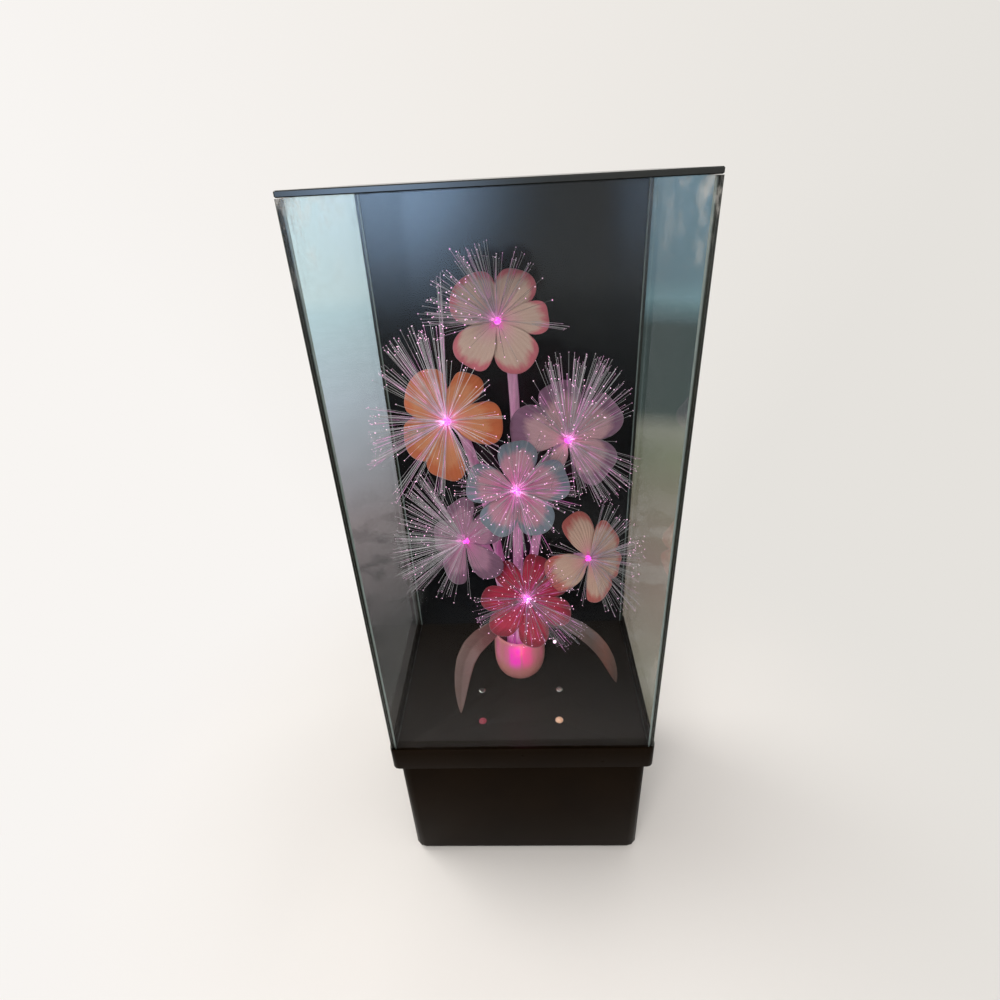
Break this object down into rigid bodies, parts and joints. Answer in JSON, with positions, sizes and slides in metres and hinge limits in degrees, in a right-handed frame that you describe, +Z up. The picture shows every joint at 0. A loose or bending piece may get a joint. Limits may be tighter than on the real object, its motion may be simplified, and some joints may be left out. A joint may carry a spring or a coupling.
{
  "type": "fiber optic lamp",
  "caption": "Display-case lamp: silk flowers with optical fibre sprays over a base with a lamp, a turning colour wheel, a lift-off clear case and a rear rocker switch.",
  "frame": {"origin": "middle of the face that the feet rest on", "axes": "+Z up along the case, -Y the clear front, +X to the viewer's right"},
  "size_m": [0.2032, 0.1532, 0.52],
  "materials": {
    "clear_acrylic": "polished",
    "black_acrylic": "polished",
    "black_moulding": "gloss",
    "rubber": "matte",
    "jewel_red": "polished",
    "jewel_clear": "polished",
    "cup": "satin",
    "foam": "matte",
    "pink_tube": "satin",
    "fibre": "polished",
    "petal_cream": "matte",
    "petal_orange": "matte",
    "petal_mauve": "matte",
    "petal_teal": "matte",
    "petal_lavender": "matte",
    "petal_crimson": "matte",
    "leaf": "matte",
    "steel": "brushed",
    "brass": "satin",
    "reflector": "polished",
    "lamp_glass": "clear",
    "ceramic": "matte",
    "switch_moulding": "satin",
    "gel_magenta": "clear",
    "gel_amber": "clear",
    "gel_green": "clear",
    "gel_blue": "clear"
  },
  "bodies": {
    "lamp_base": {"deck_tray": "black_moulding", "base_housing": "black_moulding", "bottom_cover": "black_moulding", "foot_1": "rubber", "foot_2": "rubber", "foot_3": "rubber", "foot_4": "rubber", "deck_jewel_left": "jewel_red", "deck_jewel_right": "jewel_clear", "pot": "cup", "stem_holder": "foam", "stem_sleeve_top": "pink_tube", "stem_sleeve_left": "pink_tube", "stem_sleeve_right": "pink_tube", "stem_sleeve_centre": "pink_tube", "stem_sleeve_low_left": "pink_tube", "stem_sleeve_low_right": "pink_tube", "stem_sleeve_bottom": "pink_tube", "flower_top": "petal_cream", "flower_left": "petal_orange", "flower_right": "petal_mauve", "flower_centre": "petal_teal", "flower_low_left": "petal_lavender", "flower_low_right": "petal_cream", "flower_bottom": "petal_crimson", "fibres_back": "fibre", "fibres_left": "fibre", "fibres_right": "fibre", "fibres_front": "fibre", "leaf_blade_left": "leaf", "leaf_blade_right": "leaf", "stem_leaf": "leaf", "fibre_ferrule": "brass", "chassis_plate": "steel", "chassis_screw_1": "steel", "chassis_screw_2": "steel", "chassis_screw_3": "steel", "chassis_screw_4": "steel", "wheel_motor": "steel", "lamp_bracket": "steel", "lamp_reflector": "reflector", "lamp_socket": "ceramic", "halogen_bulb": "lamp_glass", "switch_body": "switch_moulding", "power_inlet": "switch_moulding", "inlet_nut": "brass", "terminal_block": "ceramic"},
    "case_cover": {"front_pane": "clear_acrylic", "left_pane": "clear_acrylic", "right_pane": "clear_acrylic", "back_panel": "black_acrylic", "top_panel": "black_acrylic"},
    "wheel": {"colour_wheel": "black_moulding", "gel_magenta": "gel_magenta", "gel_amber": "gel_amber", "gel_green": "gel_green", "gel_blue": "gel_blue", "wheel_hub": "brass"},
    "rocker": {"switch_rocker": "switch_moulding"}
  },
  "joints": [
    {"name": "case_lift", "type": "slide", "parent": "lamp_base", "child": "case_cover", "axis": [0, 0, 1], "range_m": [0, 0.4]},
    {"name": "wheel_spin", "type": "hinge", "parent": "lamp_base", "child": "wheel", "pos_m": [-0.03732, 0.015, 0.0923], "axis": [0, 0, 1], "continuous": true},
    {"name": "rocker_tilt", "type": "hinge", "parent": "lamp_base", "child": "rocker", "pos_m": [-0.05, 0.07285, 0.036], "axis": [0, 0, 1], "range_deg": [-18, 0]}
  ]
}
